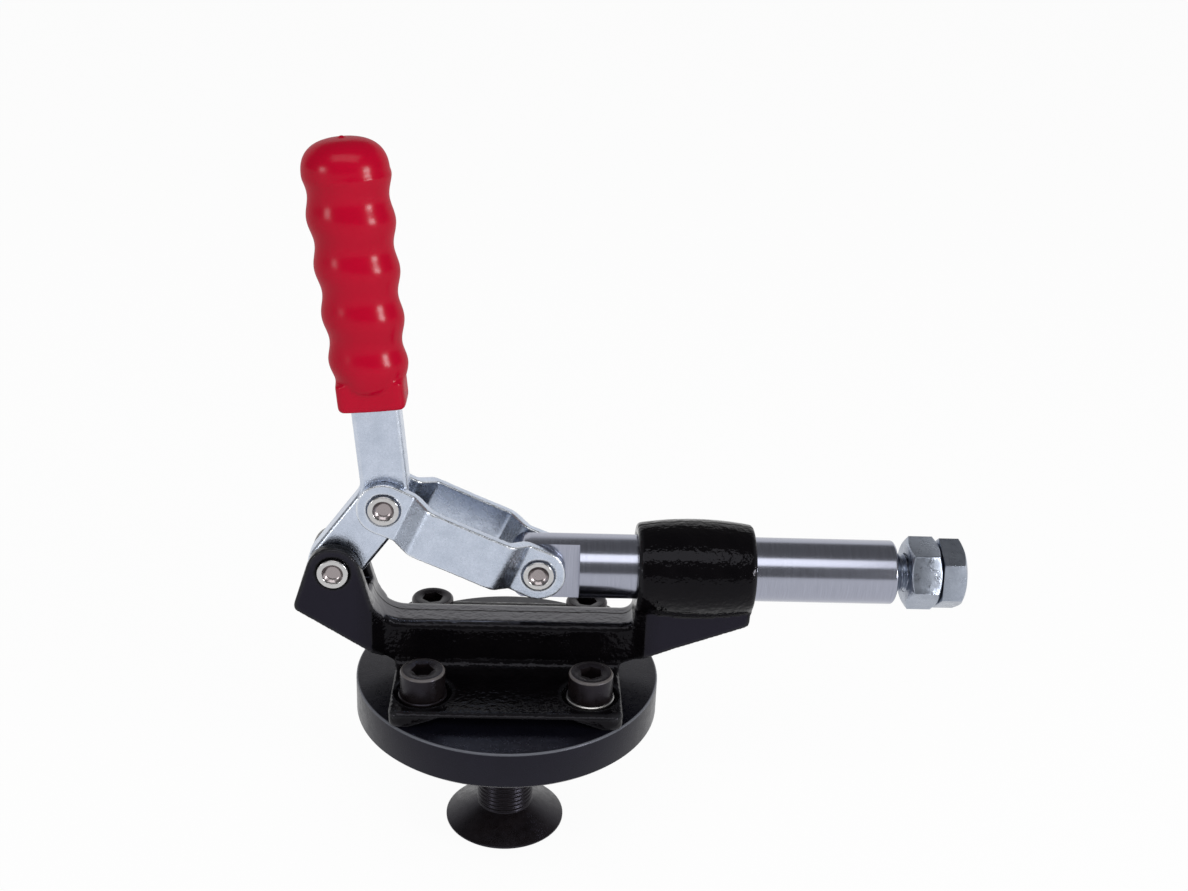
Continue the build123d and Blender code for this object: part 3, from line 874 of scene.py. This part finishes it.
def make_washers(materials):
    for number in FLANGE_CORNERS:
        node = f"flange_washer_{number}"
        low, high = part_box(node)
        radius = (high.x - low.x) / 2
        height = high.z - low.z
        hole, edge = WASHER_HOLE_RADIUS, WASHER_EDGE
        profile = [(hole, edge), (hole + edge, 0), (radius - edge, 0)]
        profile += [(radius, edge), (radius, height - edge), (radius - edge, height)]
        profile += [(hole + edge, height), (hole, height - edge)]
        washer = lathe(f"seat_washer_{number}", profile + profile[:1], SMALL_ROUND)
        put(washer, foot_of(node))
        # One washer is painted bright: wear and a painted highlight
        finish = "wear_and_highlight" if number == WASHER_WITH_WEAR_AND_HIGHLIGHT else "oxide"
        finish_piece(washer, materials[finish], "base", [node])


def pin_end(head, end):
    """Half of a riveted pin from its middle out: shank, head, rounded rim and dished face."""
    rim, lip = PIN_RIM_RADIUS, PIN_LIP_RADIUS
    shoulder = end - PIN_HEAD_DEPTH
    profile = [(PIN_RADIUS, 0.0), (PIN_RADIUS, shoulder), (head, shoulder)]
    profile += arc((head - rim, end - rim), rim, 0, 90, 5)
    profile += arc((PIN_DISH_RADIUS + lip, end - lip), lip, 90, 180, 4)
    for share in PIN_DISH_SHARES:
        radius = PIN_DISH_RADIUS - share * (PIN_DISH_RADIUS - PIN_DISH_FLOOR_RADIUS)
        sunk = (PIN_DISH_DEPTH - lip) * math.sin(share * math.pi / 2)
        profile.append((radius, end - lip - sunk))
    return profile + [(0.0, end - PIN_DISH_DEPTH)]


def make_pins(materials):
    for node in ("frame_pivot_pin", "link_pin", "plunger_pin"):
        low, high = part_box(node)
        half = pin_end((high.x - low.x) / 2, (high.y - low.y) / 2)
        profile = [(radius, -height) for radius, height in reversed(half)] + half[1:]
        pin = lathe(f"{node}_rivet", profile, SMALL_ROUND)
        points = positions(pin.data)
        reach = np.hypot(points[:, 0], points[:, 1])
        # Dish mask: duller finish and painted shade
        paint(pin, "dish", reach < PIN_DISH_RADIUS - PIN_DISH_MARGIN)
        put(pin, centre_of(node), ALONG_Y)
        finish_piece(pin, materials["rivet"], body_of(node), [node])


def make_disc(materials):
    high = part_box("base_disc")[1]
    radius, height = high.y, high.z
    edge = DISC_EDGE
    bore = CLAMPING_SHANK_RADIUS + DISC_BORE_CLEARANCE
    profile = [(bore, 0), (radius - edge, 0), (radius, edge)]
    profile += arc((radius - edge, height - edge), edge, 0, 90, 5) + [(bore, height), (bore, 0)]
    disc = lathe("mounting_disc", profile, DISC_ROUND)
    # Top rim painted bright: wear and a painted highlight
    paint(disc, "edge", top_rim(positions(disc.data)[:, 2], height, edge))
    finish_piece(disc, materials["disc"], "base", ["base_disc"], DISC_SMOOTH)


def make_clamping_screw(materials):
    low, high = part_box("clamping_screw")
    radius = high.x
    rim_top = low.z + CLAMPING_RIM_HEIGHT
    cone_top = rim_top + CLAMPING_CONE_HEIGHT
    core_top = cone_top + CLAMPING_CORE_HEIGHT
    edge = CLAMPING_EDGE
    core = CLAMPING_SHANK_RADIUS - CLAMPING_THREAD_DEPTH
    profile = [(0, low.z), (radius - edge, low.z), (radius, low.z + edge)]
    profile += [(radius, rim_top - edge), (radius - edge, rim_top)]
    profile += [(core + edge, cone_top), (core, cone_top + edge), (core, core_top), (0, core_top)]
    head = lathe("clamping_bolt", profile, CLAMPING_ROUND)
    depth = CLAMPING_SOCKET_DEPTH
    socket = prism("socket", hexagon(CLAMPING_SOCKET), low.z - depth, low.z + depth)
    boolean(head, socket, "DIFFERENCE")
    shank = thread(
        CLAMPING_SHANK_RADIUS,
        CLAMPING_THREAD_DEPTH,
        CLAMPING_THREAD_PITCH,
        cone_top - THREAD_OVERLAP,
        high.z,
        SMALL_ROUND,
    )
    join(head, shank)
    finish_piece(head, materials["oxide"], "clamping_screw", ["clamping_screw"])


def make_plunger(materials):
    low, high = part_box("plunger")
    middle = centre_of("plunger")
    radius = (high.z - low.z) / 2
    length = high.x - low.x
    edge, bevel = PLUNGER_EDGE, PLUNGER_MOUTH_BEVEL
    bottom = length - PLUNGER_MOUTH_DEPTH
    profile = [(0, 0), (radius, 0)]
    profile += arc((radius - edge, length - edge), edge, 0, 90, 6)
    profile += [(SPINDLE_RADIUS + bevel, length), (SPINDLE_RADIUS, length - bevel)]
    profile += [(SPINDLE_RADIUS, bottom), (0, bottom)]
    rod = lathe("plunger_rod", profile, ROD_ROUND)
    put(rod, (low.x, middle.y, middle.z), ALONG_X)
    start, shoulder = low.x - edge, centre_of("plunger_pin").x + TONGUE_FRONT
    for side in (-1, 1):
        inner = side * TONGUE_THICKNESS / 2
        outer = side * 2 * radius
        corners = [(start, inner), (shoulder, inner), (shoulder, outer), (start, outer)]
        corners = corners if side > 0 else corners[::-1]
        flat = prism("flat", corners, low.z - radius, high.z + radius)
        boolean(rod, flat, "DIFFERENCE")
    corner = TONGUE_CORNER_RADIUS
    turn = low.x + corner
    outline = arc((turn, radius - corner), corner, 90, 180, 12)
    outline += arc((turn, corner - radius), corner, 180, 270, 12)
    outline += [(turn, -2 * radius), (2 * high.x, -2 * radius)]
    outline += [(2 * high.x, 2 * radius), (turn, 2 * radius)]
    form = prism("form", outline, -2 * radius, 2 * radius)
    put(form, (0, middle.y, middle.z), TOWARDS_Y)
    boolean(rod, form, "INTERSECT")
    finish_piece(rod, materials["steel"], "plunger", ["plunger"])


def hexagon_form(name, height, both_ends, turn):
    """Hexagon head or nut, its corners bevelled by a cone at one end or both, edges eased."""
    corner = HEXAGON / math.sqrt(3)
    drop = (corner - HEXAGON_BEVEL_RADIUS) * math.tan(math.radians(HEXAGON_BEVEL_SLOPE))
    foot = drop if both_ends else 0.0
    start = HEXAGON_BEVEL_RADIUS if both_ends else corner
    reach = corner + HEXAGON_CONE_REACH
    profile = [(0, 0), (start, 0), (reach, foot + HEXAGON_CONE_DROP)]
    profile += [(reach, height - drop - HEXAGON_CONE_DROP)]
    profile += [(HEXAGON_BEVEL_RADIUS, height), (0, height)]
    form = lathe(name, profile, ROD_ROUND)
    bar = prism("bar", hexagon(HEXAGON, turn), -height, 2 * height)
    boolean(form, bar, "INTERSECT")
    modifier = form.modifiers.new("bevel", "BEVEL")
    modifier.width = HEXAGON_EDGE
    modifier.segments = HEXAGON_EDGE_STEPS
    modifier.limit_method = "ANGLE"
    modifier.angle_limit = math.radians(HEXAGON_EDGE_ANGLE)
    apply_modifiers(form)
    return form


def make_spindle(materials):
    low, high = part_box("spindle_bolt")
    middle = centre_of("spindle_bolt")
    head_start = high.x - BOLT_HEAD_HEIGHT
    bolt = hexagon_form("spindle_screw", BOLT_HEAD_HEIGHT, False, HEAD_TURN)
    put(bolt, (0, 0, head_start))
    shank = thread(
        SPINDLE_RADIUS,
        SPINDLE_THREAD_DEPTH,
        SPINDLE_THREAD_PITCH,
        low.x,
        head_start + THREAD_OVERLAP,
        THREAD_ROUND,
    )
    join(bolt, shank)
    put(bolt, (0, middle.y, middle.z), ALONG_X)
    finish_piece(bolt, materials["bright_zinc"], "spindle", ["spindle_bolt"])
    low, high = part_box("lock_nut")
    nut = hexagon_form("lock_nut_form", high.x - low.x, True, NUT_TURN)
    profile = [(0, NUT_BORE_START), (SPINDLE_RADIUS, NUT_BORE_START)]
    profile += [(SPINDLE_RADIUS, NUT_BORE_END), (0, NUT_BORE_END)]
    boolean(nut, lathe("bore", profile, SMALL_ROUND), "DIFFERENCE")
    put(nut, (low.x, middle.y, middle.z), ALONG_X)
    finish_piece(nut, materials["bright_zinc"], "lock_nut", ["lock_nut"])


def grip_point(along, turn):
    """Point of the grip's skin: a slanting ridged oval, domed at its end, rounded at its lip."""
    across, deep = math.cos(turn), math.sin(turn)
    tilt = math.tan(math.radians(GRIP_TILT))
    past_ridge = along - GRIP_FIRST_RIDGE
    slant = past_ridge + across * GRIP_WIDTH / 2 * tilt
    ripple = GRIP_RIPPLE * math.cos(2 * math.pi * slant / GRIP_PITCH)
    width = GRIP_WIDTH + GRIP_TAPER * past_ridge + ripple
    past_dome = along - (GRIP_LENGTH - GRIP_DOME)
    if past_dome > 0:
        share = min(1.0, past_dome / GRIP_DOME)
        level = max(0.0, 1 - share**GRIP_DOME_POWER)
        width = GRIP_TOP_WIDTH * level ** (1 / GRIP_DOME_POWER)
    short = max(0.0, 1 - (along - GRIP_LIP) / GRIP_LIP_RADIUS)
    width -= 2 * GRIP_LIP_RADIUS * (1 - math.sqrt(max(0.0, 1 - short**2)))
    rise = GRIP_LIP_RISE * across**2 * max(0.0, 1 - (along - GRIP_LIP) / GRIP_FIRST_RIDGE)
    depth = width * GRIP_FLATNESS
    return (width / 2 * across, depth / 2 * deep, along + rise)


def collar_point(height, turn):
    """Point of the collar's skin: a rounded rectangle, drawn in a little at its lower rim."""
    across, deep = math.cos(turn), math.sin(turn)
    power = COLLAR_SQUARENESS
    radius = (abs(across) ** power + abs(deep) ** power) ** (-1 / power)
    rim = COLLAR_RIM * max(0.0, 1 - height / COLLAR_RIM_HEIGHT) ** 2
    x = (COLLAR_WIDTH / 2 - rim) * radius * across
    return (x, (COLLAR_DEPTH / 2 - rim) * radius * deep, height)


def make_grip(materials):
    middle = (GRIP_LIP + GRIP_LENGTH) / 2
    half = (GRIP_LENGTH - GRIP_LIP) / 2
    turns = [math.pi * step / GRIP_STEPS for step in range(GRIP_STEPS + 1)]
    heights = [middle - half * math.cos(turn) for turn in turns]
    body = skin("grip_sleeve", heights, grip_point, GRIP_ROUND)
    heights = [COLLAR_HEIGHT * step / COLLAR_STEPS for step in range(COLLAR_STEPS + 1)]
    join(body, skin("collar", heights, collar_point, GRIP_ROUND))
    profile = [(0, NUB_FOOT), (NUB_FOOT_RADIUS, NUB_FOOT)]
    profile += [(NUB_TOP_RADIUS, NUB_HEIGHT), (0, NUB_HEIGHT)]
    nub = lathe("nub", profile, NUB_ROUND)
    put(nub, (0, 0, GRIP_LENGTH))
    join(body, nub)
    remesh(body, GRIP_VOXEL, GRIP_ROUNDS)
    lean = Matrix.Rotation(math.radians(90 - BAR_ANGLE), 4, "Y")
    put(body, centre_of("link_pin"), lean @ Matrix.Translation((0, 0, GRIP_START)))
    finish_piece(body, materials["vinyl"], "lever", ["grip"], MOULDED_SMOOTH)


# ---- Stage, lights and camera ----


def make_floor():
    """Pale floor, low enough to clear the clamping screw when it is wound right out."""
    half, height = FLOOR_SIZE / 2, cad_low.z - FLOOR_DROP
    corners = [(-half, -half, height), (half, -half, height)]
    corners += [(half, half, height), (-half, half, height)]
    floor = add_mesh("floor", corners, [(0, 1, 2, 3)])
    n = Finish("floor_white")
    n.set(base_color=FLOOR_WHITE, roughness=0.9, specular_ior_level=0.1)
    rays = n.add("ShaderNodeLightPath").outputs
    seen = n.math("MAXIMUM", rays["Is Camera Ray"], rays["Is Glossy Ray"])
    blend = n.add("ShaderNodeMixShader")
    n.link(n.times(seen, FLOOR_GLOW), blend.inputs[0])
    n.link(n.shader.outputs["BSDF"], blend.inputs[1])
    n.link(n.add("ShaderNodeEmission").outputs["Emission"], blend.inputs[2])
    n.link(blend.outputs["Shader"], n.output.inputs["Surface"])
    floor.data.materials.append(n.material)


def make_world():
    """White for the camera, a soft studio for reflections, and an even fill for the rest."""
    world = bpy.data.worlds.new("studio")
    bpy.context.scene.world = world
    world.use_nodes = True
    n = Nodes(world.node_tree)
    rays = n.add("ShaderNodeLightPath").outputs
    axes = n.axes(n.add("ShaderNodeTexCoord").outputs["Generated"])
    behind = n.remap(axes["Y"], BACKDROP_DEPTH, (0.0, 1.0), "SMOOTHSTEP")
    below = n.remap(axes["Z"], BACKDROP_HEIGHT, (1.0, 0.0), "SMOOTHSTEP")
    studio = n.math("MAXIMUM", n.times(behind, below), STUDIO_DARK)
    direct = n.math("MAXIMUM", rays["Is Camera Ray"], rays["Is Transmission Ray"])
    glossy = n.times(rays["Is Glossy Ray"], studio)
    diffuse = n.times(rays["Is Diffuse Ray"], AMBIENT)
    background = n.add("ShaderNodeBackground")
    background.inputs["Color"].default_value = (*WHITE, 1.0)
    strength = n.math("MAXIMUM", n.math("MAXIMUM", direct, glossy), diffuse)
    n.link(strength, background.inputs["Strength"])
    output = n.add("ShaderNodeOutputWorld")
    n.link(background.outputs["Background"], output.inputs["Surface"])


def soft_box(name, place, size, radiance):
    """Rectangular lamp of a given brightness, unseen by the camera."""
    light = bpy.data.lights.new(name, "AREA")
    light.shape = "RECTANGLE"
    light.size, light.size_y = size
    light.energy = radiance * math.pi * size[0] * size[1]
    lamp = add_object(name, light)
    lamp.location = place
    aim = Vector(LAMP_AIM) - Vector(place)
    lamp.rotation_euler = aim.to_track_quat("-Z", "Y").to_euler()
    lamp.visible_camera = False


def make_camera():
    data = bpy.data.cameras.new("camera")
    data.sensor_width = SENSOR_WIDTH
    data.sensor_fit = "HORIZONTAL"
    data.lens = FOCAL_PIXELS / IMAGE_WIDTH * SENSOR_WIDTH
    data.clip_start = CAMERA_NEAR
    camera = add_object("camera", data)
    backwards = CAMERA_RIGHT.cross(CAMERA_UP)
    axes = Matrix((CAMERA_RIGHT, CAMERA_UP, backwards)).transposed()
    camera.matrix_world = Matrix.Translation(CAMERA_PLACE) @ axes.to_4x4()
    bpy.context.scene.camera = camera


materials = make_materials()
make_casting(materials)
make_disc(materials)
make_screws(materials)
make_washers(materials)
make_clamping_screw(materials)
make_lever(materials)
make_grip(materials)
make_links(materials)
make_pins(materials)
make_plunger(materials)
make_spindle(materials)
make_floor()
make_world()
for lamp in LAMPS:
    soft_box(*lamp)
make_camera()
bpy.context.scene.view_settings.view_transform = "Standard"
